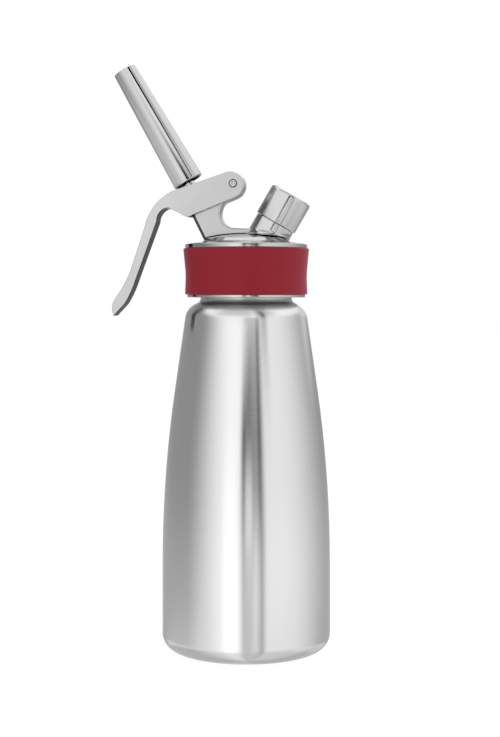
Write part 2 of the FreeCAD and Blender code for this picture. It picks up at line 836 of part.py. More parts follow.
def make_check_sleeve():
    """The rubber sleeve that covers the tail of the non-return valve."""
    inner = "check_tail_radius + press_gap"
    return ring("check_valve_sleeve", inner, f"{inner} + check_sleeve_wall - press_gap",
                "check_tail + check_head_length", "check_boss_foot", "charger")


def make_pin_holder():
    """The threaded disc that holds the piercing pin at the bottom of the socket."""
    return ring("pin_holder", "piercing_pin_radius + press_gap", "socket_radius - press_gap",
                "socket_floor", "socket_floor + pin_holder_thickness", "charger")


def make_piercing_pin():
    """The hollow piercing pin, ground to a slanting point."""
    return turned("piercing_pin", [
        ("piercing_pin_bore", "socket_floor"),
        ("piercing_pin_radius", "socket_floor"),
        ("piercing_pin_radius", "piercing_pin_top - piercing_tip"),
        ("piercing_pin_bore + running_gap", "piercing_pin_top"),
        ("piercing_pin_bore", "piercing_pin_top"),
    ], "charger")


def make_piercing_seal():
    """The soft ring around the pin, against which the charger's neck is pressed."""
    foot = "socket_floor + pin_holder_thickness"
    return ring("piercing_seal", "piercing_pin_radius + press_gap", "socket_radius - press_gap",
                foot, f"{foot} + piercing_seal_thickness", "charger")


CAP_CEILING = "stub_top + liner_thickness"
CAP_TOP = f"{CAP_CEILING} + cap_roof"


def make_cap():
    """The protective cap over the charger connection, with a rounded top edge."""
    foot = "stub_shoulder + cap_seat_gap"
    return turned("charger_cap", [
        ("cap_bore", foot),
        ("cap_radius", foot),
        *chords("cap_radius - cap_edge_round", f"{CAP_TOP} - cap_edge_round", "cap_edge_round", "0", "90", 3),
        ("0", CAP_TOP),
        ("0", CAP_CEILING),
        ("cap_bore", CAP_CEILING),
    ], "charger")


def make_liner():
    """The soft liner inside the cap, resting on the end of the charger connection."""
    return disc("cap_liner", "stub_neck_radius", "stub_top", CAP_CEILING, "charger")


# ---------------------------------------------------------------- lever


def from_pivot(x, z):
    return (f"pivot_x + ({x})", f"pivot_z + ({z})")


def taper_grip(body):
    """Narrows the finger grip on both sides."""
    far_x = "pivot_x + tip_x - lever_half_width"
    for side, name in (("", "BackTaper"), ("-", "FrontTaper")):
        far_y = f"{side}(lever_half_width + overcut)"
        pad_or_pocket(body, "XY_Plane", [
            (far_x, f"{side}grip_half_width"),
            ("pivot_x + taper_end_x", f"{side}grip_half_width"),
            ("pivot_x + taper_start_x", f"{side}lever_half_width"),
            ("pivot_x + taper_start_x", far_y),
            (far_x, far_y),
        ], "2 * (pivot_z + lever_half_width)", "Pocket", name)


def hollow_lever(body, underside):
    """Cuts the channel and the fork, adds the rounded nose over the collar and cuts the stem's slot."""
    lean = "tan(valve_tilt - top_edge_slope)"
    clear = "2 * lever_half_width"
    pad_or_pocket(body, "XZ_Plane", [
        at("valve", "chamber_floor", "-channel_back"),
        at("valve", "chamber_floor", f"channel_back + {clear} * 2"),
        at("valve", f"nozzle_base + {clear}", f"channel_back + {clear} * 2"),
        at("valve", f"nozzle_base + {clear}", "fork_start"),
        at("valve", f"{underside} - fork_start * {lean}", "fork_start"),
        at("valve", f"{underside} + channel_back * {lean}", "-channel_back"),
    ], "2 * (lever_half_width - cheek_thickness)", "Pocket", "Channel")
    nose_centre = "collar_top + nose_gap + nose_radius"
    nose_x, nose_z = at("valve", nose_centre, "0")
    pad_or_pocket(body, "XZ_Plane", [
        (f"{nose_x} - nose_radius", nose_z, "180"),
        (f"{nose_x} + nose_radius", nose_z, "180"),
    ], "2 * (lever_half_width - cheek_thickness) + nose_gap", "Pad", "Nose")
    pad_or_pocket(body, "XZ_Plane", [
        at("valve", "collar_seat", "-(stem_radius + slot_back)"),
        at("valve", "collar_seat", "stem_radius + slot_reach"),
        at("valve", f"nozzle_base + {clear}", "stem_radius + slot_reach"),
        at("valve", f"nozzle_base + {clear}", "-(stem_radius + slot_back)"),
    ], "2 * (stem_radius + slot_play)", "Pocket", "StemSlot")
    pad_or_pocket(body, "XZ_Plane", [
        ("pivot_x - pin_radius - running_gap", "pivot_z", "180"),
        ("pivot_x + pin_radius + running_gap", "pivot_z", "180"),
    ], "2 * (lever_half_width + overcut)", "Pocket", "PivotHole")


def make_lever():
    """The lever: a cast arm with a channel underneath for the plate of the head, forked at the pivot,
    bridged over the stem, and drawn out into a curved finger grip."""
    body = new_body("lever")
    end_x = "lever_end_x"
    end_z = "lever_end_z"
    top_x = f"{end_x} - lever_end_radius * sin(top_edge_slope)"
    top_z = f"{end_z} + lever_end_radius * cos(top_edge_slope)"
    bottom_x = f"{end_x} + lever_end_radius * sin(bottom_edge_slope)"
    bottom_z = f"{end_z} - lever_end_radius * cos(bottom_edge_slope)"
    knee_z = f"({top_z}) + (knee_x - ({top_x})) * tan(top_edge_slope)"
    heel_end_z = f"({bottom_z}) + (heel_end_x - ({bottom_x})) * tan(bottom_edge_slope)"
    pad_or_pocket(body, "XZ_Plane", [
        from_pivot(top_x, top_z),
        from_pivot("knee_x", knee_z) + ("knee_bend",),
        from_pivot("knee_outer_x", "knee_outer_z"),
        from_pivot("grip_outer_x", "grip_outer_z") + ("-flare_bend",),
        from_pivot("flare_x", "flare_z") + ("tip_bend",),
        from_pivot("tip_x", "tip_z"),
        from_pivot("tip_x + tip_thickness", "tip_z + tip_slant") + ("palm_bend",),
        from_pivot("grip_outer_x + palm_thickness", "grip_outer_z - palm_fall"),
        from_pivot("hook_x", "hook_z") + ("-hook_bend",),
        from_pivot("hook_x + hook_run", "hook_z + hook_height"),
        from_pivot("heel_end_x - heel_run", "heel_z") + ("heel_bend",),
        from_pivot("heel_end_x", heel_end_z),
        from_pivot(bottom_x, bottom_z) + ("180 - (bottom_edge_slope - top_edge_slope)",),
    ], "2 * lever_half_width", "Pad", "Arm")
    taper_grip(body)
    top_on_stem = (f"(pivot_z + ({top_z}) - (pivot_x + ({top_x})) * tan(top_edge_slope) - valve_axis_height)"
                   " / (cos(valve_tilt) + tan(top_edge_slope) * sin(valve_tilt))")
    hollow_lever(body, f"{top_on_stem} - bridge_thickness / cos(valve_tilt - top_edge_slope)")
    return body


def make_pin():
    """The riveted lever pin, dimpled at both ends."""
    end = "(lever_half_width + pin_projection)"
    shank = cross_rod("pin_shank", "pin_radius", end, "pivot_x", "pivot_z")
    ball = "((pin_dimple_radius ^ 2 + pin_dimple_depth ^ 2) / (2 * pin_dimple_depth))"
    dimples = []
    for side in ("", "-"):
        dimple = doc.addObject("Part::Sphere", "pin_dimple")
        dimple.setExpression("Radius", bound(ball))
        dimple.setExpression("Placement.Base.x", bound("pivot_x"))
        dimple.setExpression("Placement.Base.y", bound(f"{side}({end} - pin_dimple_depth + {ball})"))
        dimple.setExpression("Placement.Base.z", bound("pivot_z"))
        dimples.append(dimple)
    return cut("lever_pin", shank, dimples)


pieces = [make_bottle(), make_head(), make_band(), make_gasket()]
pieces += [make_guide(), make_stem_ring(), make_stem(), make_washer(), make_disc()]
pieces += [make_spring_seat(), make_spring(), make_collar()]
pieces += [make_nozzle(), make_nozzle_seal()]
pieces += [make_check_plug(), make_check_sleeve()]
pieces += [make_pin_holder(), make_piercing_pin(), make_piercing_seal()]
pieces += [make_cap(), make_liner()]
pieces += [make_lever(), make_pin()]
doc.recompute()

for item in doc.Objects:
    if "Invalid" in item.State or "Error" in item.State:
        raise RuntimeError(f"{item.Label} failed: {item.State}")

os.makedirs("parts", exist_ok=True)
for piece in pieces:
    shape = piece.Shape
    if shape.isNull() or not shape.isValid() or shape.Volume <= 0:
        raise RuntimeError(f"{piece.Label} has no valid shape")
    shape.exportStep(f"parts/{piece.Label}.step")
    print(piece.Label, len(shape.Solids), round(shape.Volume, 1))
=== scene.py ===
# %% [markdown]
# # A whipped cream dispenser
#
# A cream dispenser is a thin steel bottle with a screwed-on head. Cream goes in at the neck, a gas
# charger puts it under pressure, and a squeeze of the lever lets it out through the nozzle. This
# lesson dresses a finished CAD model of one: the CAD model gives every place and size, and here each
# visible piece gets soft edges, its real surface and its fine details.

# %% Load the CAD model
import math

import bmesh
import bpy
from mathutils import Matrix, Vector


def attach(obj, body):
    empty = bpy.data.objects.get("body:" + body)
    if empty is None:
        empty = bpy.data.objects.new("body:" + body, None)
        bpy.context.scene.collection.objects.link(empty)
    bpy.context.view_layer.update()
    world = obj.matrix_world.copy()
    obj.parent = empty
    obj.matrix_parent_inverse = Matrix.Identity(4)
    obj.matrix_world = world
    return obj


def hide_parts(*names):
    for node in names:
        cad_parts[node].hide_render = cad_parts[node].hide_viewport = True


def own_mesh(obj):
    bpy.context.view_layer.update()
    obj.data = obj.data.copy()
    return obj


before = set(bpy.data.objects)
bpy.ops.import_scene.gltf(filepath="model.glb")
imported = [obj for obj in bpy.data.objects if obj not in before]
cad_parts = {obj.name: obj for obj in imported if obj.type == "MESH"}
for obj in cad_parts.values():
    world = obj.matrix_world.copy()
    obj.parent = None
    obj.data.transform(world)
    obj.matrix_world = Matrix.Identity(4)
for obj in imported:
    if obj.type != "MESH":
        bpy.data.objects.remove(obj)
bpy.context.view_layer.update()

# %% [markdown]
# ## Units and axes
#
# Blender works in metres, but a kitchen tool is easier to think of in millimetres, so sizes are
# written in millimetres and scaled once. Three axes carry nearly everything: the bottle's own, the
# valve's axis that leans 30 degrees to the left, and the charger's axis that leans 30 degrees to the
# right. A matrix for each lets a turned piece be drawn upright and then leaned over.

# %% Axes
MM = 0.001
VALVE_CROSSING, CHARGER_CROSSING = 212, 216.5  # mm up the bottle's axis
LEAN = 30  # degrees


def leaning(height, degrees):
    """The frame of an axis that crosses the bottle's axis at a height and leans toward +X."""
    return Matrix.Translation((0, 0, height * MM)) @ Matrix.Rotation(math.radians(degrees), 4, "Y")


UPRIGHT = Matrix.Identity(4)
VALVE = leaning(VALVE_CROSSING, -LEAN)
CHARGER = leaning(CHARGER_CROSSING, LEAN)
between = (VALVE.to_3x3() @ Vector((0, 0, 1))).angle(CHARGER.to_3x3() @ Vector((0, 0, 1)))
print("degrees between valve and charger:", round(math.degrees(between)))

# %% [markdown]
# ## Camera
#
# The camera stands about 0.87 m away, a little to the right of the plane of the lever, so that the
# charger's cap turns its side to us. It is held level at the height of the shoulder, which keeps
# every upright edge upright, and the lens is shifted down to take in the foot, as on a view camera.
# A longish lens keeps the sides of the bottle almost parallel. Depth of field stays off.

# %% Camera
CAMERA_DISTANCE = 0.87
CAMERA_HEIGHT = 0.207
CAMERA_TURN = math.radians(5)
LEVEL = math.radians(90)
LONG_SIDE, FOCAL = 737, 1500  # pixels
SHIFT_RIGHT, SHIFT_DOWN = 3.8, 78  # pixels
NEAR_CLIP = 0.05

camera = bpy.data.objects.new("camera", bpy.data.cameras.new("camera"))
bpy.context.scene.collection.objects.link(camera)
camera.location = (
    CAMERA_DISTANCE * math.sin(CAMERA_TURN),
    -CAMERA_DISTANCE * math.cos(CAMERA_TURN),
    CAMERA_HEIGHT,
)
camera.rotation_euler = (LEVEL, 0, CAMERA_TURN)
camera.data.lens = camera.data.sensor_width * FOCAL / LONG_SIDE
camera.data.shift_x = SHIFT_RIGHT / LONG_SIDE
camera.data.shift_y = -SHIFT_DOWN / LONG_SIDE
camera.data.clip_start = NEAR_CLIP
bpy.context.scene.camera = camera
bpy.context.scene.view_settings.view_transform = "Standard"
print("lens in mm:", round(camera.data.lens, 1))

# %% [markdown]
# ## Nodes and colours
#
# Every material is a small graph of nodes. One helper adds a node, sets its properties, and fills or
# links its sockets, which keeps the graphs below short enough to read. Colours are written as the
# sRGB hex values that a paint program shows, and one function turns them into the linear light that
# Blender calculates with.

# %% Helpers for nodes and colours


def node(tree, kind, inputs=None, **settings):
    """Adds one node, with its settings and with its sockets filled or linked."""
    made = tree.nodes.new(kind)
    for name, value in settings.items():
        setattr(made, name, value)
    for socket, value in (inputs or {}).items():
        if isinstance(value, bpy.types.NodeSocket):
            tree.links.new(value, made.inputs[socket])
        else:
            made.inputs[socket].default_value = value
    return made


def colour(code):
    """sRGB hex, such as C8C9CA, to linear red, green, blue and alpha."""
    parts = [int(code[i : i + 2], 16) / 255 for i in (0, 2, 4)]
    return [p / 12.92 if p <= 0.04045 else ((p + 0.055) / 1.055) ** 2.4 for p in parts] + [1]


print("mid grey in linear light:", round(colour("808080")[0], 3))

# %% [markdown]
# ## The studio
#
# Bare steel has hardly any colour of its own: it shows what stands around it. Such a bottle is lit
# with tall softboxes, with a dark gap between them where the camera stands, and that gap draws the
# dark line down the middle of the metal. The room could be built from lamps and cards, but a world
# shader does the same with no card in the way when the camera walks round: each light is a smooth
# hump over a range of directions, added to the grey of the room.
#
# A row of the table is one light. Its first four numbers are compass directions in degrees, where
# the hump starts, is full, begins to fade and has ended: 0 is in front of the dispenser and the
# numbers grow toward its right. The next four are the same for the height above the horizon. The
# last is how much light it adds. Below nought it takes light away, as a black card does.

# %% Lights
ROOM_LEVEL = 0.4
ANY_HEIGHT, ALL_ROUND = (-92, -91, 91, 92), (-182, -181, 181, 182)
BELOW = (-92, -91, -10, -2.5)
STUDIO = [
    ((-87, -19, -5, 2), ANY_HEIGHT, 1.0),  # the tall softbox on the left
    ((-32, -20, -12, -3), (-92, -91, -6, 16), 0.28),  # the lamp low behind its cloth
    ((25, 34, 50, 160), ANY_HEIGHT, 0.86),  # the wide softbox on the right
    ((9, 15, 19, 21), ANY_HEIGHT, 0.16),  # the camera between them
    ((21, 23, 25, 28), (-14, 4, 91, 92), -0.36),  # a stand
    ((-4, 3, 14, 24), (-6, 5, 91, 92), -0.36),  # the dark room above the camera
    ((-4.5, -2, 1, 4), (0, 7, 91, 92), -0.55),  # the edge of the left softbox
    ((2, 5, 11, 15), (-8, -5, 2, 5), 1.1),  # a white card below the lens
    ((13, 17, 22, 28), (-17, -12, -5, -1), 0.4),  # and one on its right
    (ALL_ROUND, BELOW, 0.14),  # the floor
    ((-6, 4, 20, 28), BELOW, 0.3),  # the floor in front, in the light
    ((-150, -125, -70, -42), (-29, -23, -17, -13), 0.48),  # the floor on the left
    ((20, 40, 120, 160), (-92, -91, -18, -12), -0.25),  # the floor on the right, in the shade
    ((66, 88, 140, 170), (-44, -36, -24, -17), 0.45),  # and its far end, in the light
    ((-182, -181, -168, -156), ANY_HEIGHT, 0.35),  # a strip light at the back
    ((120, 145, 160, 168), (2, 6, 91, 92), 0.5),  # the lit backdrop
    ((165, 172, 181, 182), (0, 4, 91, 92), 0.9),
]
ABOVE = [  # laid over the overhead light
    ((0, 4, 9, 13), (5, 9, 17, 22), -0.2),  # the arm that holds it
    ((-80, -55, 60, 85), (29, 38, 66, 82), -0.65),  # the dark ceiling in front of it
    ((14, 19, 22, 28), (15, 21, 55, 75), 0.5),  # its tube
    ((31, 37, 41, 48), (15, 21, 55, 75), -1.35),  # the seam beside it
]
print("lights and shadows in the studio:", len(STUDIO + ABOVE))

# %% [markdown]
# ## From directions to light
#
# The world shader gets the direction of each ray. It could look that up in a picture of a room, but
# here it works out the compass direction and the climb, and adds up the rows of the table.

# %% World
world = bpy.data.worlds.new("studio")
bpy.context.scene.world = world
world.use_nodes = True
tree = world.node_tree
tree.nodes.clear()


def calculate(operation, first, second=0.0):
    """One step of arithmetic in the current tree."""
    return node(tree, "ShaderNodeMath", {0: first, 1: second}, operation=operation).outputs[0]


def ramp(value, start, end, low=0.0, high=1.0):
    """A smooth rise from low at the start to high at the end."""
    limits = {"Value": value, "From Min": start, "From Max": end, "To Min": low, "To Max": high}
    return node(tree, "ShaderNodeMapRange", limits, interpolation_type="SMOOTHSTEP").outputs[0]


direction = node(tree, "ShaderNodeTexCoord").outputs["Generated"]
split = node(tree, "ShaderNodeSeparateXYZ", {0: direction})
front = calculate("MULTIPLY", split.outputs["Y"], -1.0)
compass = calculate("DEGREES", calculate("ARCTAN2", split.outputs["X"], front))
climb = calculate("DEGREES", calculate("ARCSINE", split.outputs["Z"]))


def hump(angle, start, full, fade, end):
    """One between two angles and nothing outside, with soft edges."""
    return calculate("ADD", ramp(angle, start, full), ramp(angle, fade, end, 0, -1))


def hang(level, lights):
    """Adds soft-edged lights, and shadows where the strength is negative, to the light of the room."""
    for across, up, strength in lights:
        patch = calculate("MULTIPLY", hump(compass, *across), hump(climb, *up))
        level = calculate("ADD", level, calculate("MULTIPLY", patch, strength))
    return level


level = hang(ROOM_LEVEL, STUDIO)
print("nodes for the table:", len(tree.nodes))

# %% [markdown]
# ## The light overhead
#
# Over everything hangs one large light. Its lower edge has a corner in front and rises to both sides,
# which on the bottle's shoulder and on the cap shows as a slanting edge. A hump has no slant, so this
# light is made from its edge. Underfoot lies the white floor. What the camera sees directly is plain
# white, so that the room shows only in the metal.

# %% Overhead light
OVERHEAD_CORNER = (-8, 6.5)  # compass and climb of its lowest corner
OVERHEAD_END = 28  # from here on its edge is level
SLOPE_LEFT, SLOPE_RIGHT = 0.3, 0.45  # how steeply its edge rises on each side
OVERHEAD_BLUR = 4  # degrees
OVERHEAD = 1.5
UNDERFOOT, UNDERFOOT_FALL, UNDERFOOT_SHARE = 0.78, (-18, -35), 0.6
WHITE = colour("FFFFFF")

aside = calculate("SUBTRACT", calculate("MINIMUM", compass, OVERHEAD_END), OVERHEAD_CORNER[0])
both_ways = calculate("MULTIPLY", calculate("ABSOLUTE", aside), (SLOPE_RIGHT + SLOPE_LEFT) / 2)
edge = calculate("ADD", both_ways, calculate("MULTIPLY", aside, (SLOPE_RIGHT - SLOPE_LEFT) / 2))
over_edge = calculate("SUBTRACT", calculate("SUBTRACT", climb, OVERHEAD_CORNER[1]), edge)
for share, target in [
    (ramp(over_edge, 0, OVERHEAD_BLUR), OVERHEAD),
    (ramp(climb, *UNDERFOOT_FALL, 0, UNDERFOOT_SHARE), UNDERFOOT),
]:
    level = node(tree, "ShaderNodeMix", {0: share, 2: level, 3: target}).outputs[0]
level = hang(level, ABOVE)
room = node(tree, "ShaderNodeBackground", {"Color": WHITE, "Strength": level})
backdrop = node(tree, "ShaderNodeBackground", {"Color": WHITE, "Strength": 1.0})
seen = node(tree, "ShaderNodeLightPath").outputs["Is Camera Ray"]
mixed = node(tree, "ShaderNodeMixShader", {0: seen, 1: room.outputs[0], 2: backdrop.outputs[0]})
node(tree, "ShaderNodeOutputWorld", {"Surface": mixed.outputs[0]})
print("nodes in the world:", len(tree.nodes))

# %% [markdown]
# ## The floor
#
# The dispenser stands on a pale, seamless sheet. To the camera the sheet is as white as the backdrop,
# with just enough real diffuse surface left in it to keep a soft contact shadow. Reflections pass
# through it, because a real sheet curves up and away into the lights instead of ending at a horizon.

# %% Floor
FLOOR_SIZE = 6.0
SHADOW_SHARE = 0.15
GLOW = 1.08  # makes up for what the shadow's share takes away

# Coated paper: matt and evenly white, so that only a soft shadow shows where the foot stands.
bpy.ops.mesh.primitive_plane_add(size=FLOOR_SIZE)
floor = bpy.context.object
floor.name = "Floor"
paper = bpy.data.materials.new("seamless paper, white")
paper.use_nodes = True
tree = paper.node_tree
tree.nodes.clear()
matte = node(tree, "ShaderNodeBsdfDiffuse", {"Color": colour("F0F0F0")})
glow = node(tree, "ShaderNodeEmission", {"Color": WHITE, "Strength": GLOW})
path = node(tree, "ShaderNodeLightPath")
share = calculate("MULTIPLY", path.outputs["Is Camera Ray"], 1 - SHADOW_SHARE)
white = node(tree, "ShaderNodeMixShader", {0: share, 1: matte.outputs[0], 2: glow.outputs[0]})
clear = node(tree, "ShaderNodeBsdfTransparent")
mirrored = path.outputs["Is Glossy Ray"]
mixed = node(tree, "ShaderNodeMixShader", {0: mirrored, 1: white.outputs[0], 2: clear.outputs[0]})
node(tree, "ShaderNodeOutputMaterial", {"Surface": mixed.outputs[0]})
floor.data.materials.append(paper)
print("floor in metres:", FLOOR_SIZE, "x", FLOOR_SIZE)

# %% [markdown]
# ## What a finish is made of
#
# Three things make a surface look real: its colour, how rough it is, and its fine relief. A noise
# texture drives the last two, and it is scaled in millimetres, so that it has the same size on every
# piece. Image textures could do it too, but noise needs no unwrapping and never repeats.

# %% Helpers for materials
NOISE_LOW, NOISE_HIGH = 0.3, 0.7  # nearly all of the noise lies between these
NOISE_DETAIL = 2.0


def principled(name, base, metallic, roughness, **sockets):
    """A new material with its principled shader. Plain numbers go straight to the sockets."""
    made = bpy.data.materials.new(name)
    made.use_nodes = True
    shader = made.node_tree.nodes["Principled BSDF"]
    shader.inputs["Base Color"].default_value = colour(base)
    shader.inputs["Metallic"].default_value = metallic
    shader.inputs["Roughness"].default_value = roughness
    for socket, value in sockets.items():
        shader.inputs[socket.replace("_", " ")].default_value = value
    print("finish:", name)
    return made, made.node_tree, shader


def grain(tree, spacing, place=None):
    """Noise whose features have the given spacing in mm along X, Y and Z."""
    place = place or node(tree, "ShaderNodeTexCoord").outputs["Object"]
    scale = [1 / (s * MM) for s in spacing]
    squeezed = node(tree, "ShaderNodeMapping", {"Vector": place, "Scale": scale}).outputs[0]
    settings = {"Vector": squeezed, "Scale": 1.0, "Detail": NOISE_DETAIL}
    return node(tree, "ShaderNodeTexNoise", settings).outputs[0]


def vary(tree, shader, socket, noise, low, high):
    """Lets noise move a socket between two values."""
    limits = {"Value": noise, "From Min": NOISE_LOW, "From Max": NOISE_HIGH, "To Min": low, "To Max": high}
    tree.links.new(node(tree, "ShaderNodeMapRange", limits).outputs[0], shader.inputs[socket])


def raise_grain(tree, shader, noise, height):
    """Turns noise into a relief of the given height in mm."""
    bump = node(tree, "ShaderNodeBump", {"Height": noise, "Distance": height * MM, "Strength": 1.0})
    tree.links.new(bump.outputs[0], shader.inputs["Normal"])


print("a grain of 0.5 mm fits into a metre", round(1 / (0.5 * MM)), "times")

# %% [markdown]
# ## Brushed and turned steel
#
# Nearly the whole tool is stainless steel, and only the way its surface was finished tells the
# pieces apart. A brush held against the spinning bottle leaves fine scratches that run round it, and
# a lathe tool does the same to the nozzle and the cap. Light spreads across scratches and stays sharp
# along them, so every reflection is drawn out into a band that runs up the piece. That is what the
# shader's anisotropy does, and its tangent has to follow the scratches round each leaning axis.

# %% Brushed steel
STEEL = "CECECE"
SWING = 0.02  # how far the scratches move the roughness, each way
QUARTER_TURN = 0.25  # turns the highlight across the scratches
SHOULDER_RISE, SHOULDER_DULL = (185, 199), 0.14


def brushed_steel(name, axis, spacing, roughness, anisotropy, height, base=STEEL):
    """Steel scratched round an axis, at a spacing in mm, with highlights drawn out across it."""
    sockets = {"Anisotropic": anisotropy, "Anisotropic_Rotation": QUARTER_TURN}
    made, tree, shader = principled(name, base, 1.0, roughness, **sockets)
    place = node(tree, "ShaderNodeTexCoord").outputs["Object"]
    foot, lean = axis.to_translation(), axis.to_euler()
    settings = {"Vector": place, "Location": foot, "Rotation": lean}
    upright = node(tree, "ShaderNodeMapping", settings, vector_type="TEXTURE").outputs[0]
    scratches = grain(tree, spacing, upright)
    vary(tree, shader, "Roughness", scratches, roughness - SWING, roughness + SWING)
    raise_grain(tree, shader, scratches, height)
    crossed = node(tree, "ShaderNodeVectorMath", {0: (0, 0, 1), 1: upright}, operation="CROSS_PRODUCT")
    settings = {"Vector": crossed.outputs[0], "Rotation": lean}
    leaned = node(tree, "ShaderNodeMapping", settings, vector_type="VECTOR").outputs[0]
    moved = node(tree, "ShaderNodeVectorTransform", {0: leaned}, vector_type="VECTOR",
                 convert_from="OBJECT", convert_to="WORLD")
    tree.links.new(moved.outputs[0], shader.inputs["Tangent"])
    return made


# Brushed: soft upright bands of light, and a dull sheen where they end. Real brush lines are well
# under a tenth of a millimetre apart, which would not show, so they are drawn at 0.5 mm.
bottle_steel = brushed_steel(
    "stainless steel, brushed round the bottle", UPRIGHT, (40, 40, 0.5),
    roughness=0.18, anisotropy=0.75, height=0.0008)

# Near the shoulder the brush cannot press as hard, and the steel turns duller.
tree = bottle_steel.node_tree
roughness = tree.nodes["Principled BSDF"].inputs["Roughness"]
place = node(tree, "ShaderNodeTexCoord").outputs["Object"]
height = node(tree, "ShaderNodeSeparateXYZ", {0: place}).outputs["Z"]
duller = ramp(height, SHOULDER_RISE[0] * MM, SHOULDER_RISE[1] * MM, 0, SHOULDER_DULL)
tree.links.new(calculate("ADD", roughness.links[0].from_socket, duller), roughness)

# Turned: nearly a mirror, with crisp bands and a hint of rings. The tool's rings are finer than the
# eye can see and are drawn at 0.4 and 0.3 mm.
nozzle_steel = brushed_steel(
    "stainless steel, fine turned tube", VALVE, (20, 20, 0.4),
    roughness=0.13, anisotropy=0.3, height=0.0003, base="AFAFAF")
cap_steel = brushed_steel(
    "stainless steel, fine turned", CHARGER, (20, 20, 0.3),
    roughness=0.12, anisotropy=0.3, height=0.0003, base="B5B5B5")

# %% [markdown]
# ## Cast steel
#
# The head, its plate and the lever are castings. The outside of the head is buffed on a cloth wheel
# until it mirrors the room, and the lever and the plate are tumbled in a drum with small stones. A
# third, dark steel is painted shade: it darkens the crease at the foot of the plate, the pin's groove
# and the sides under the lever and the grip that lie in shade. None of them has a direction, so their
# noise has the same spacing on all three axes.

# %% Cast steel
PITS, SAND, HAZE = (0.4, 0.4, 0.4), (0.5, 0.5, 0.5), (6, 6, 6)  # spacing in mm
PIT_DEPTH, SAND_DEPTH = 0.003, 0.006  # mm

# Tumbled: an even silky grey that shows no reflections. Its pits are far too fine to show, so they
# are drawn at 0.4 mm.
satin_steel, tree, shader = principled("stainless steel, satin from the tumbling drum", "BFBFBF",
                                       metallic=1.0, roughness=0.42)
pits = grain(tree, PITS)
vary(tree, shader, "Roughness", pits, 0.38, 0.46)
raise_grain(tree, shader, pits, PIT_DEPTH)

# Painted shade: a dark, dull steel for creases, grooves and shaded sides, with a sandy cast relief
# drawn at 0.5 mm so that it shows.
painted_shade_steel, tree, shader = principled("stainless steel, dark as painted shade", "4A4A4A",
                                       metallic=1.0, roughness=0.5)
sand = grain(tree, SAND)
vary(tree, shader, "Roughness", sand, 0.44, 0.56)
raise_grain(tree, shader, sand, SAND_DEPTH)

# Buffed: a mirror, a little hazy in patches where the wheel pressed less.
polished_steel, tree, shader = principled("stainless steel, buffed bright", "B5B5B5",
                                          metallic=1.0, roughness=0.12)
haze = grain(tree, HAZE)
vary(tree, shader, "Roughness", haze, 0.09, 0.15)

# %% [markdown]
# ## Silicone, rubber and brass
#
# The grip band is dark red silicone, moulded in one piece. Seals are grey silicone or black rubber,
# and the small turned valve parts are brass. Moulded parts take over the fine blasted texture of
# their mould, which is finer than can be shown and is drawn at 0.5 and 0.6 mm.

# %% Silicone, rubber and brass
SILICONE_SKIN, RUBBER_SKIN, BRASS_RINGS = (0.6, 0.6, 0.6), (0.5, 0.5, 0.5), (8, 8, 0.3)  # mm
SILICONE_DEPTH, RUBBER_DEPTH = 0.004, 0.005  # mm

# Moulded silicone: smooth to touch but not glossy, and a little paler where light grazes its edge.
red_silicone, tree, shader = principled(
    "silicone, dark red, moulded", "871321", metallic=0.0, roughness=0.55, IOR=1.41,
    Specular_IOR_Level=0.3, Sheen_Weight=0.35, Sheen_Roughness=0.35, Sheen_Tint=colour("D98CB8"))
skin = grain(tree, SILICONE_SKIN)
vary(tree, shader, "Roughness", skin, 0.46, 0.54)
raise_grain(tree, shader, skin, SILICONE_DEPTH)

# The same in grey for the head's gasket: pale, matt and a little soft at its highlights.
grey_silicone, tree, shader = principled("silicone, grey, moulded", "8E8F90", metallic=0.0, roughness=0.5)
raise_grain(tree, shader, grain(tree, SILICONE_SKIN), SILICONE_DEPTH)

# Moulded rubber: nearly black, with one broad faint highlight.
black_rubber, tree, shader = principled("nitrile rubber, black", "1B1B1C", metallic=0.0, roughness=0.6)
raise_grain(tree, shader, grain(tree, RUBBER_SKIN), RUBBER_DEPTH)

# Turned brass: warm yellow, with rings from the tool, drawn at 0.3 mm so that they show.
brass, tree, shader = principled("brass, turned", "C2A35B", metallic=1.0, roughness=0.3)
vary(tree, shader, "Roughness", grain(tree, BRASS_RINGS), 0.25, 0.38)

# %% [markdown]
# ## Rounded corners
#
# Most of the dispenser was made on a lathe or by spinning, so half a cross-section describes a piece.
# Each corner of it has a radius of its own, which can be a 0.3 mm broken edge or the 690 mm sweep of
# the bottle's wall. A curve with handles could draw the same line, but radii are what a drawing gives.

# %% Rounded corners
FEWEST_STEPS, STEP_DEGREES, STEP_LENGTH = 4, 6, 6  # how finely a corner is divided


def round_corners(corners):
    """The points of an outline whose corners, (radius, height, rounding), are rounded."""
    points = []
    for index, corner in enumerate(corners):
        here = Vector(corner[:2])
        rounding = corner[2] if len(corner) > 2 else 0
        if not rounding:
            points.append(here)
            continue
        back = (Vector(corners[index - 1][:2]) - here).normalized()
        on = (Vector(corners[(index + 1) % len(corners)][:2]) - here).normalized()
        half = back.angle(on) / 2
        reach = rounding / math.tan(half)
        centre = here + (back + on).normalized() * (rounding / math.sin(half))
        start, end = here + back * reach - centre, here + on * reach - centre
        swept = math.degrees(start.angle(end))
        steps = max(FEWEST_STEPS, math.ceil(swept / STEP_DEGREES), math.ceil(reach / STEP_LENGTH))
        for step in range(steps + 1):
            turn = start.angle_signed(end) * -step / steps
            points.append(centre + Matrix.Rotation(turn, 2) @ start)
    return points


print("points on a square with corners of 1 mm:",
      len(round_corners([(0, 0, 1), (9, 0, 1), (9, 9, 1), (0, 9, 1)])))

# %% [markdown]
# ## Turned pieces
#
# The outline is spun about an axis: every point of it becomes a ring, and each ring is joined to the
# next. Blender's Screw modifier could spin it too, but making the rings directly gives clean quads
# that reflect without a ripple. Every piece of the lesson ends in the same way: smooth faces with
# sharp creases, a material, the body that it rides on, and the CAD node that it stands for.

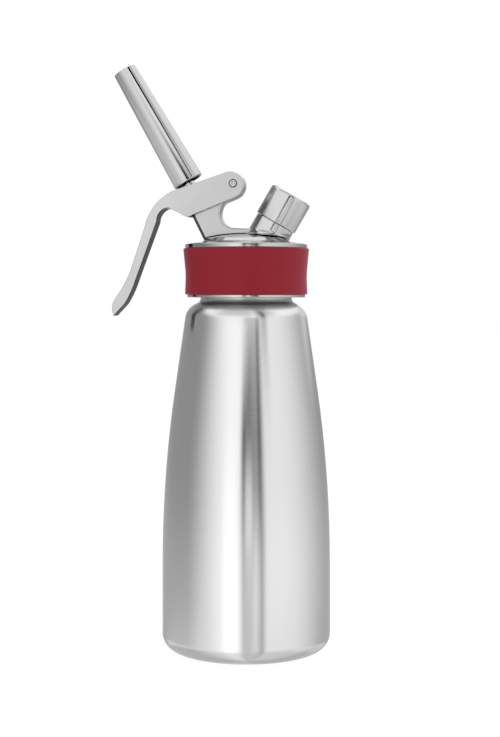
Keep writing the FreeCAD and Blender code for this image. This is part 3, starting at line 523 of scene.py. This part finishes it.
# %% Lathe
CREASE = math.radians(28)  # an edge sharper than this stays sharp
ON_AXIS = 1e-7  # a ring smaller than this, in metres, is one point on the axis


def finish_piece(name, mesh, material, body, stands_for=()):
    """Turns a bmesh into a shown piece with smooth faces and sharp creases."""
    data = bpy.data.meshes.new(name)
    for face in mesh.faces:
        face.smooth = True
    mesh.to_mesh(data)
    mesh.free()
    data.set_sharp_from_angle(angle=CREASE)
    data.materials.append(material)
    made = bpy.data.objects.new(name, data)
    bpy.context.scene.collection.objects.link(made)
    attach(made, body)
    if stands_for:
        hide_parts(*stands_for)
    print(name, "has", len(data.polygons), "faces and rides on the", body)
    return made


def join_rings(mesh, rings, closed):
    """Joins each ring of points to the next by quads, and the last to the first where closed."""
    for ring, following in zip(rings, rings[1:] + rings[:1] if closed else rings[1:]):
        for s in range(len(ring)):
            t = (s + 1) % len(ring)
            quad = list(dict.fromkeys([ring[s], ring[t], following[t], following[s]]))
            if len(quad) > 2:
                mesh.faces.new(quad)
    if not closed:
        mesh.faces.new(rings[0])
        mesh.faces.new(reversed(rings[-1]))
    bmesh.ops.recalc_face_normals(mesh, faces=mesh.faces)


def spin(name, corners, axis, material, body, stands_for=(), segments=160):
    """Spins an outline about an axis into a closed, smooth piece that rides on a body."""
    mesh = bmesh.new()
    rings = []
    for radius, height in [point * MM for point in round_corners(corners)]:
        if radius < ON_AXIS:
            rings.append([mesh.verts.new((0, 0, height))] * segments)
            continue
        angles = [2 * math.pi * s / segments for s in range(segments)]
        rings.append([mesh.verts.new((radius * math.cos(a), radius * math.sin(a), height)) for a in angles])
    join_rings(mesh, rings, closed=True)
    mesh.transform(axis)
    return finish_piece(name, mesh, material, body, stands_for)


print("edges stay sharp from", round(math.degrees(CREASE)), "degrees on")

# %% [markdown]
# ## The bottle
#
# The bottle is deep drawn from one steel disc: a soft foot corner, a straight part, a long taper, a
# tight shoulder and a short neck. A few corners are enough, because the rounding of each does the
# rest. The wall is a single millimetre, so the outline turns back at the lip and runs down inside.

# %% Bottle
WALL = 1.0
BODY, WAIST, NECK, MOUTH = 48.5, 34.5, 26.4, 224.4
LIP = NECK + 0.9
BASE, RING_INSIDE, RING = 2.5, 32.5, 35.5  # the raised base, and the ring that the bottle stands on
TAPER_START, TAPER_SWEEP = 100, 690

spin("bottle_wall", [
    (0, BASE), (RING_INSIDE, BASE, 1.5), (RING, 0, 1.2), (BODY, 0, 9.5),  # the base and the foot
    (BODY, TAPER_START, TAPER_SWEEP), (WAIST, 197.3, 10.5), (NECK, 200.5, 3.3),  # taper and shoulder
    (NECK, 222, 0.3), (LIP, 222.6, 0.3), (LIP, MOUTH, 0.6),  # neck and lip
    (NECK - WALL, MOUTH, 0.4), (NECK - WALL, 200.3, 4.0), (WAIST - WALL, 196.4, 9.5),  # down inside
    (BODY - WALL, TAPER_START, TAPER_SWEEP), (BODY - WALL, WALL, 8.5),
    (RING, WALL, 1.5), (RING_INSIDE, BASE + WALL, 1.5), (0, BASE + WALL),
], UPRIGHT, bottle_steel, "bottle", ["bottle"], segments=256)

# %% [markdown]
# ## The head
#
# The head is one heavy casting. Its turned parts are a skirt with a small foot flange, the rim under
# which the grip band sits, a crown that slopes up, and a shallow dome. The grip band is a separate
# sleeve, pulled on before the rim, and it flares a little toward the top. The charger connection is
# a short stub with a thread, and its cap is turned from bar.

# %% Head, band and charger connection
SKIRT_INSIDE, SKIRT_OUTSIDE, SKIRT_FOOT = 27.75, 31.8, 203
BAND_FOOT, BAND_TOP = 204.7, 231.4
RIM = 35.4
DOME_TOP, DOME_CURVE = 239.9, 90
STUB_RADIUS, STUB_THREAD, STUB_BORE = 11.75, 9.95, 6.0
CAP_INSIDE, CAP_OUTSIDE = 10.9, 12.6

spin("head_shell", [
    (0, 231.6), (20.5, 231.6), (20.5, 227), (SKIRT_INSIDE, 227),  # the inside
    (SKIRT_INSIDE, SKIRT_FOOT, 0.3), (34.2, SKIRT_FOOT, 0.5), (34.2, BAND_FOOT, 0.3),  # foot flange
    (SKIRT_OUTSIDE, BAND_FOOT), (SKIRT_OUTSIDE, BAND_TOP), (RIM, BAND_TOP, 0.3), (RIM, 233.8, 0.5),
    (25.8, 235.2, 0.8), (23.8, 237.2, 0.8), (12.1, 239.85, DOME_CURVE), (0, DOME_TOP),  # crown and dome
], UPRIGHT, polished_steel, "head", ["head_casting"])

spin("grip_sleeve", [
    (SKIRT_OUTSIDE, BAND_FOOT), (35.5, BAND_FOOT, 0.7), (35.0, 216, 60), (36.5, BAND_TOP, 0.8),
    (SKIRT_OUTSIDE, BAND_TOP),
], UPRIGHT, red_silicone, "head", ["grip_band"])

spin("charger_stub", [
    (0, 22), (STUB_RADIUS, 22), (STUB_RADIUS, 34.2, 0.4), (STUB_THREAD, 34.2), (STUB_THREAD, 49.5, 0.6),
    (STUB_BORE, 49.5, 0.3), (STUB_BORE, 33.5), (0, 33.5),
], CHARGER, polished_steel, "head")

spin("cap_shell", [
    (CAP_INSIDE, 34.35, 0.2), (CAP_OUTSIDE, 34.35, 0.4), (CAP_OUTSIDE, 53, 1.6), (0, 53), (0, 50.7),
    (CAP_INSIDE, 50.7, 0.5),
], CHARGER, cap_steel, "cap", ["charger_cap"])

# %% [markdown]
# ## The nozzle
#
# A plain tube that narrows slightly toward its open end, screwed on to the top of the valve stem. Its
# foot is hollowed a little, so that its rim comes down round the stem.

# %% Nozzle
NOZZLE_TIP, NOZZLE_BORE = 142.39, 5.5

spin("nozzle_tube", [
    (3.18, 71), (7.6, 71), (7.6, 67, 0.2), (8.9, 67, 0.8),  # the foot
    (6.9, NOZZLE_TIP, 0.4), (NOZZLE_BORE, NOZZLE_TIP, 0.3),  # the open end
    (NOZZLE_BORE, 79), (4.6, 79), (4.6, 76), (3.18, 76),  # the bore and the place of its seal
], VALVE, nozzle_steel, "nozzle", ["nozzle"])

# %% [markdown]
# ## Outlines with arcs
#
# The plate that stands on the head isn't turned, but cut from an outline of straight runs and arcs.
# An arc is given as the angle by which its run bends, which is how a draughtsman would note it, and
# points on the leaning axes are given along and across them.

# %% Outlines
ARC_STEP = 5  # degrees


def on_axis(axis, along, across):
    """The (x, z) in mm of a point along and across one of the leaning axes."""
    place = axis @ Vector((across * MM, 0, along * MM)) / MM
    return place.x, place.z


def trace(points):
    """The corners of an outline of (x, z) points; a third value bends the run that leaves a point."""
    traced = []
    for index, point in enumerate(points):
        start, end = Vector(point[:2]), Vector(points[(index + 1) % len(points)][:2])
        traced.append(start)
        if len(point) < 3:
            continue
        turn = math.radians(point[2])
        chord = end - start
        centre = (start + end) / 2 + Vector((-chord.y, chord.x)) * 0.5 / math.tan(turn / 2)
        steps = math.ceil(abs(point[2]) / ARC_STEP)
        for step in range(1, steps):
            angle = turn * step / steps
            arm = start - centre
            traced.append(centre + Vector((arm.x * math.cos(angle) - arm.y * math.sin(angle),
                                           arm.x * math.sin(angle) + arm.y * math.cos(angle))))
    return traced


PIVOT = (-6.9, 268.6)
web_outline = trace([
    on_axis(VALVE, 28.5, -9), on_axis(VALVE, 28.5, 0), (-6, 234.5), on_axis(CHARGER, 24, 0),  # sunk in
    on_axis(CHARGER, 31.2, 0), (0.8, 242.8), (-6, 243, -88), (-14.3, 251.3, -62),  # the round notch
    (PIVOT[0] - 2.2, PIVOT[1] - 9), (PIVOT[0] + 5.4, PIVOT[1] - 4.8, 250),  # the tongue at the pivot
    on_axis(VALVE, 51.5, 14.5), on_axis(VALVE, 49.5, 7.5), on_axis(VALVE, 49.5, -7.7),  # over the valve
])
print("corners of the plate's outline:", len(web_outline))

# %% [markdown]
# ## Soft edges
#
# No casting has a knife edge: a bright line of reflection runs along every rounded one, and without
# it metal looks like paper. A bevel that obeys weights can round each edge by its own radius. It is
# applied here and now instead of staying a modifier, so that single faces can get another material,
# such as the dark steel that paints shade.

# %% Soft edges


def round_edges(made, width, segments=4):
    """Rounds the weighted edges of a piece for good, up to a width in mm."""
    bevel = made.modifiers.new("rounded edges", "BEVEL")
    bevel.width = width * MM
    bevel.segments = segments
    bevel.limit_method = "WEIGHT"
    bevel.use_clamp_overlap = False
    bevel.harden_normals = True
    shaped = made.evaluated_get(bpy.context.evaluated_depsgraph_get())
    made.data = bpy.data.meshes.new_from_object(shaped)
    made.modifiers.clear()
    print(made.name, "has", len(made.data.polygons), "faces with its edges rounded")


def refinish(made, material, chosen):
    """Gives a second finish to the faces for which chosen(centre in mm, normal) is true."""
    made.data.materials.append(material)
    for face in made.data.polygons:
        if chosen(face.center / MM, face.normal):
            face.material_index = len(made.data.materials) - 1


# %% [markdown]
# ## The plate of the head
#
# A flat plate, 13 mm thick, stands across the top of the head. It holds the valve, reaches up to the
# lever's pivot as a rounded tongue, and is bitten out by a round notch before it runs into the charger
# connection. Its outline is pushed out to both sides and its edges are rounded by 1.5 mm, and by more
# down the narrow side under the lever. That side is coloured dark as painted shade.

# %% Plate
HALF_PLATE = 6.5
PLATE_LEFT = -24
EDGE_ROUND, UNDER_ROUND = 1.5, 2.8
SUNK_BELOW, UNDER_TOP = 242, 254  # heights up to which it is sunk in the dome, and under the lever
FACES_LEFT = -0.2


def bevelled_plate(name, outline, half_width, rounding, widest, material, body):
    """An outline pushed out to both sides; rounding(x, z) is the radius that an edge there gets."""
    mesh = bmesh.new()
    front = [mesh.verts.new((p.x * MM, -half_width * MM, p.y * MM)) for p in outline]
    back = [mesh.verts.new((p.x * MM, half_width * MM, p.y * MM)) for p in outline]
    mesh.faces.new(front)
    mesh.faces.new(back)
    for index in range(len(outline)):
        after = (index + 1) % len(outline)
        mesh.faces.new((front[index], front[after], back[after], back[index]))
    bmesh.ops.recalc_face_normals(mesh, faces=mesh.faces)
    weights = mesh.edges.layers.float.new("bevel_weight_edge")
    for edge in mesh.edges:
        if edge.verts[0].co.y * edge.verts[1].co.y > 0:
            middle = (edge.verts[0].co + edge.verts[1].co) / 2 / MM
            edge[weights] = rounding(middle.x, middle.z) / widest
    made = finish_piece(name, mesh, material, body)
    round_edges(made, widest)
    return made


def plate_rounding(x, z):
    """Nothing where the plate sinks into the dome, more under the lever than elsewhere."""
    if z < SUNK_BELOW and x > PLATE_LEFT:
        return 0
    return UNDER_ROUND if x < PLATE_LEFT and z < UNDER_TOP else EDGE_ROUND


def painted_shade_under_lever(centre, normal):
    """The narrow side of the plate under the lever, which gets the dark steel as painted shade."""
    return centre.x < PLATE_LEFT and normal.x < FACES_LEFT


plate = bevelled_plate("head_plate", web_outline, HALF_PLATE, plate_rounding, UNDER_ROUND,
                       satin_steel, "head")
# The narrow side under the lever gets the dark steel as painted shade.
refinish(plate, painted_shade_steel, painted_shade_under_lever)

# %% [markdown]
# ## The inner corner of the casting
#
# Where the plate rises from the dome, the casting has a small fillet. It is coloured dark as painted
# shade and draws a fine dark line of crease shade along the foot of the plate. The fillet is a thin
# bead along the curve in which the plate's side cuts the dome.

# %% Fillets at the foot of the plate
FILLET, FILLET_STEP, FILLET_POINTS = 0.5, 1.1, 27
BEAD_SIDES = 10
BEAD_TIP, BEAD_GROWTH = 0.1, 0.45  # the share of its thickness at an end, and what each step adds
DOME_FLAT, DOME_EDGE, EDGE_HEIGHT, EDGE_FALL = 2.6, 21.4, 237.9, 0.218


def dome_height(radius):
    """The height in mm of the dome's surface at a distance from the bottle's axis."""
    if radius < DOME_EDGE:
        return DOME_TOP - max(0, radius - DOME_FLAT) ** 2 / (2 * DOME_CURVE)
    return EDGE_HEIGHT - (radius - DOME_EDGE) * EDGE_FALL


def bead(name, path, radius, material, body, stands_for=()):
    """A round bead along a path of points in mm that thins out to nothing at both ends."""
    mesh = bmesh.new()
    rings = []
    for index, here in enumerate(path):
        ahead = (path[min(index + 1, len(path) - 1)] - path[max(index - 1, 0)]).normalized()
        side = ahead.cross(Vector((0, 0, 1))).normalized()
        up = side.cross(ahead)
        to_end = min(index, len(path) - 1 - index)
        thick = radius * min(1, BEAD_TIP + BEAD_GROWTH * to_end)
        turns = [2 * math.pi * s / BEAD_SIDES for s in range(BEAD_SIDES)]
        ring = [here + (side * math.cos(a) + up * math.sin(a)) * thick for a in turns]
        rings.append([mesh.verts.new(point * MM) for point in ring])
    join_rings(mesh, rings, closed=False)
    return finish_piece(name, mesh, material, body, stands_for)


# Each bead gets the dark steel as painted shade in the crease at the plate's foot.
for name, side in [("plate_shade_bead_front", -HALF_PLATE), ("plate_shade_bead_back", HALF_PLATE)]:
    along = [PLATE_LEFT + FILLET_STEP * step for step in range(FILLET_POINTS)]
    path = [Vector((x, side, dome_height(math.hypot(x, side)))) for x in along]
    bead(name, path, FILLET, painted_shade_steel, "head")

# %% [markdown]
# ## The root of the charger connection
#
# The stub of the charger connection grows out of the dome with a hollow fillet, as castings do: metal
# that flows into a sharp inner corner would crack there. The fillet follows the curve in which the
# leaning cylinder meets the dome. It is found by stepping along the cylinder until the height fits,
# and it is narrow on the right, where the dome ends, and wide elsewhere.

# %% Fillet round the stub
WIDE_FILLET, NARROW_FILLET, FILLET_GROWTH = 3.4, 0.7, 2.7
COVE_STEPS, COVE_FEET, SEARCH_STEPS = 8, 96, 20
COVE_BACK, COVE_OVERLAP = 0.3, 0.03  # how deep its back and its edge sink into the metal


def where_stub_meets_dome(turn):
    """The point in mm where one line of the stub's wall runs into the dome, and the wall's normal there."""
    outward = CHARGER.to_3x3() @ Vector((math.cos(turn), math.sin(turn), 0))
    along = 0
    for _ in range(SEARCH_STEPS):
        point = CHARGER @ Vector((0, 0, along * MM)) / MM + outward * STUB_RADIUS
        along += dome_height(math.hypot(point.x, point.y)) - point.z
    return point, outward


def cove(name, feet, material, body):
    """A hollow fillet along a closed path; each foot is a point, the ways out and up, and a radius."""
    mesh = bmesh.new()
    rings = []
    for point, out, up, radius in feet:
        angles = [math.pi / 2 * step / COVE_STEPS for step in range(COVE_STEPS + 1)]
        arc = [point + (out * (1 - math.sin(a)) + up * (1 - math.cos(a))) * radius for a in angles]
        rings.append([mesh.verts.new(place * MM) for place in arc + [point - (out + up) * COVE_BACK]])
    join_rings(mesh, rings, closed=True)
    return finish_piece(name, mesh, material, body)


feet = []
for step in range(COVE_FEET):
    turn = 2 * math.pi * step / COVE_FEET
    point, outward = where_stub_meets_dome(turn)
    level_out = Vector((outward.x, outward.y, 0)).normalized()
    width = min(WIDE_FILLET, NARROW_FILLET + FILLET_GROWTH * (1 - math.cos(turn)))
    feet.append((point - level_out * COVE_OVERLAP, level_out, CHARGER.to_3x3() @ Vector((0, 0, 1)), width))
cove("stub_fillet", feet, polished_steel, "head")

# %% [markdown]
# ## The lever
#
# The lever is a cast channel with a fork at the pivot, a slot for the stem and a curved finger grip.
# Its outline is already right in the CAD model, so a copy of the CAD mesh is cleaned until every flat
# side is a single face again, and a bevel then rounds each edge. Outer edges, which a hand touches,
# are rounder than the edges inside the channel.

# %% Lever
LEVER_ROUND, LEVER_SEGMENTS = 0.5, 3
OUTER_FACE, PIVOT_REACH, INNER_SHARE = 7.4, 3.5, 0.4
GRIP_START, FACES_BOTTLE = -40, 0.3
SAME_POINT, SAME_PLANE = 1e-6, math.radians(0.5)


def soften(name, source, width, material, body, weigh):
    """A copy of a CAD node with its flat sides joined up; weigh(a, b) gives an edge its share of width."""
    mesh = bmesh.new()
    mesh.from_mesh(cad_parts[source].data)
    bmesh.ops.remove_doubles(mesh, verts=mesh.verts, dist=SAME_POINT)
    bmesh.ops.dissolve_limit(mesh, angle_limit=SAME_PLANE, verts=mesh.verts, edges=mesh.edges)
    weights = mesh.edges.layers.float.new("bevel_weight_edge")
    for edge in mesh.edges:
        if len(edge.link_faces) == 2 and edge.calc_face_angle(0) > CREASE:
            edge[weights] = weigh(edge.verts[0].co / MM, edge.verts[1].co / MM)
    made = finish_piece(name, mesh, material, body, [source])
    round_edges(made, width, LEVER_SEGMENTS)
    return made


def lever_edges(a, b):
    """Outer edges in full, the edges of the channel and of the pivot holes two fifths."""
    outside = min(abs(a.y), abs(b.y)) > OUTER_FACE and a.y * b.y > 0
    at_pivot = math.dist((a.x, a.z), PIVOT) < PIVOT_REACH
    return 1.0 if outside and not at_pivot else INNER_SHARE


def painted_shade_under_grip(centre, normal):
    """The side of the finger grip that faces the bottle, which gets the dark steel as painted shade."""
    return centre.x < GRIP_START and normal.x > FACES_BOTTLE


lever = soften("lever_arm", "lever", LEVER_ROUND, satin_steel, "lever", lever_edges)
# The side of the grip that faces the bottle gets the dark steel as painted shade.
refinish(lever, painted_shade_steel, painted_shade_under_grip)

# %% [markdown]
# ## The lever pin
#
# A short rivet carries the lever. Each end stands a quarter of a millimetre proud, with a round
# dimple left by the punch, and a fine groove parts it from the lever, coloured dark as painted shade.

# %% Lever pin
PIN_END, PIN_DIMPLE, PIN_GROOVE = 9.25, 8.75, 8.3  # mm from the middle of the pin
PIN_RADIUS, GROOVE_START = 2.3, 1.97

crosswise = Matrix.Translation((PIVOT[0] * MM, 0, PIVOT[1] * MM)) @ Matrix.Rotation(math.radians(90), 4, "X")
pin = spin("lever_rivet", [
    (0, -PIN_DIMPLE), (0.7, -8.9, 0.5), (1.1, -PIN_END, 0.3), (1.95, -PIN_END, 0.3),
    (2.0, -PIN_GROOVE), (PIN_RADIUS, -PIN_GROOVE), (PIN_RADIUS, PIN_GROOVE), (2.0, PIN_GROOVE),
    (1.95, PIN_END, 0.3), (1.1, PIN_END, 0.3), (0.7, 8.9, 0.5), (0, PIN_DIMPLE),
], crosswise, polished_steel, "head", ["lever_pin"], segments=48)
# The faces of the groove get the dark steel as painted shade.
refinish(pin, painted_shade_steel, lambda centre, normal: math.dist((centre.x, centre.z), PIVOT) > GROOVE_START)

# %% [markdown]
# ## Screw threads
#
# The head screws on to the bottle, the cap on to the charger connection and the nozzle on to the
# stem. Each thread is one ridge that winds up the piece and sinks away at both ends. On the CAD side
# these are plain cylinders as high as the crest, so the ridge keeps to that size.

# %% Threads
RIDGE_SUNK, CREST_BREAK = 0.2, 0.02  # mm
FLANK, FLAT = 0.46, 0.14  # half the width of the ridge at its foot and at its crest, in pitches
FADE_PART = 6  # the ridge sinks away over a sixth of a turn


def thread(name, axis, root, crest, start, end, pitch, material, body, segments=48):
    """A ridge of rounded triangular section, wound about an axis between two heights in mm."""
    mesh = bmesh.new()
    turns = (end - start - pitch) / pitch
    count = round(turns * segments)
    rings = []
    for step in range(count + 1):
        angle = 2 * math.pi * step / segments
        height = start + pitch / 2 + pitch * step / segments
        fade = min(1, step / (segments / FADE_PART), (count - step) / (segments / FADE_PART))
        ridge = root + (crest - root) * math.sin(fade * math.pi / 2)
        foot, shoulder = root - RIDGE_SUNK, ridge - CREST_BREAK
        section = [(foot, -FLANK), (shoulder, -FLAT), (ridge, 0), (shoulder, FLAT), (foot, FLANK)]
        rings.append([mesh.verts.new((r * math.cos(angle) * MM, r * math.sin(angle) * MM,
                                      (height + z * pitch) * MM)) for r, z in section])
    join_rings(mesh, rings, closed=False)
    mesh.transform(axis)
    return finish_piece(name, mesh, material, body)


thread("neck_thread", UPRIGHT, root=NECK, crest=27.25, start=206.2, end=217.8, pitch=4,
       material=bottle_steel, body="bottle", segments=96)
thread("stub_thread", CHARGER, root=STUB_THREAD, crest=10.58, start=35.4, end=48.7, pitch=1.5,
       material=polished_steel, body="head")

# %% [markdown]
# ## Inside the head
#
# Two round bosses hang under the head, one for the valve and one for the non-return valve. They only
# show when the head is off the bottle.

# %% Bosses
spin("valve_boss", [(5.92, 19), (8.4, 19, 0.5), (8.4, 27), (5.92, 27)],
     VALVE, polished_steel, "head", segments=72)
spin("check_boss", [(4.42, 16), (6.6, 16, 0.5), (6.6, 24), (4.42, 24)],
     CHARGER, polished_steel, "head", segments=64)

# %% [markdown]
# ## The return spring
#
# A compression spring of 0.8 mm wire sits in the head under the collar and lifts the stem again. Its
# ends are ground thin, as on any spring that stands on a flat seat, so the bead that drew the
# fillets can wind it as well. When the lever is squeezed the spring gets 4 mm shorter.

# %% Spring
SPRING_FOOT, SPRING_TOP, COIL, WIRE = 34.8, 54.0, 4.0, 0.4
SPRING_TURNS, SPRING_STEPS = 6, 24

count = SPRING_TURNS * SPRING_STEPS
rise = SPRING_TOP - SPRING_FOOT - 2 * WIRE
winding = []
for step in range(count + 1):
    angle = 2 * math.pi * step / SPRING_STEPS
    place = Vector((COIL * math.cos(angle), COIL * math.sin(angle), SPRING_FOOT + WIRE + rise * step / count))
    winding.append(VALVE @ (place * MM) / MM)
spring = bead("return_spring", winding, WIRE, polished_steel, "head", ["valve_spring"])
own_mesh(spring)

# %% [markdown]
# ## The small pieces inside
#
# The stem, the seals and the two valves are small turned or moulded parts that hardly show until the
# dispenser is taken apart. Their CAD shape is right as it is, so they stay, and only their finish is
# changed: the plain one goes out of the material slot, and the real one comes in.

# %% Finishes of the CAD pieces that stay
for names, material in [
    (("valve_stem", "stem_collar", "valve_disc", "spring_seat", "piercing_pin"), polished_steel),
    (("head_gasket",), grey_silicone),
    (("valve_washer", "nozzle_seal", "cap_liner", "piercing_seal", "stem_ring", "check_valve_sleeve"),
     black_rubber),
    (("valve_guide", "pin_holder", "check_valve_plug"), brass),
]:
    for name in names:
        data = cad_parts[name].data
        data.materials.clear()
        data.materials.append(material)
    print(material.name, "on", ", ".join(names))
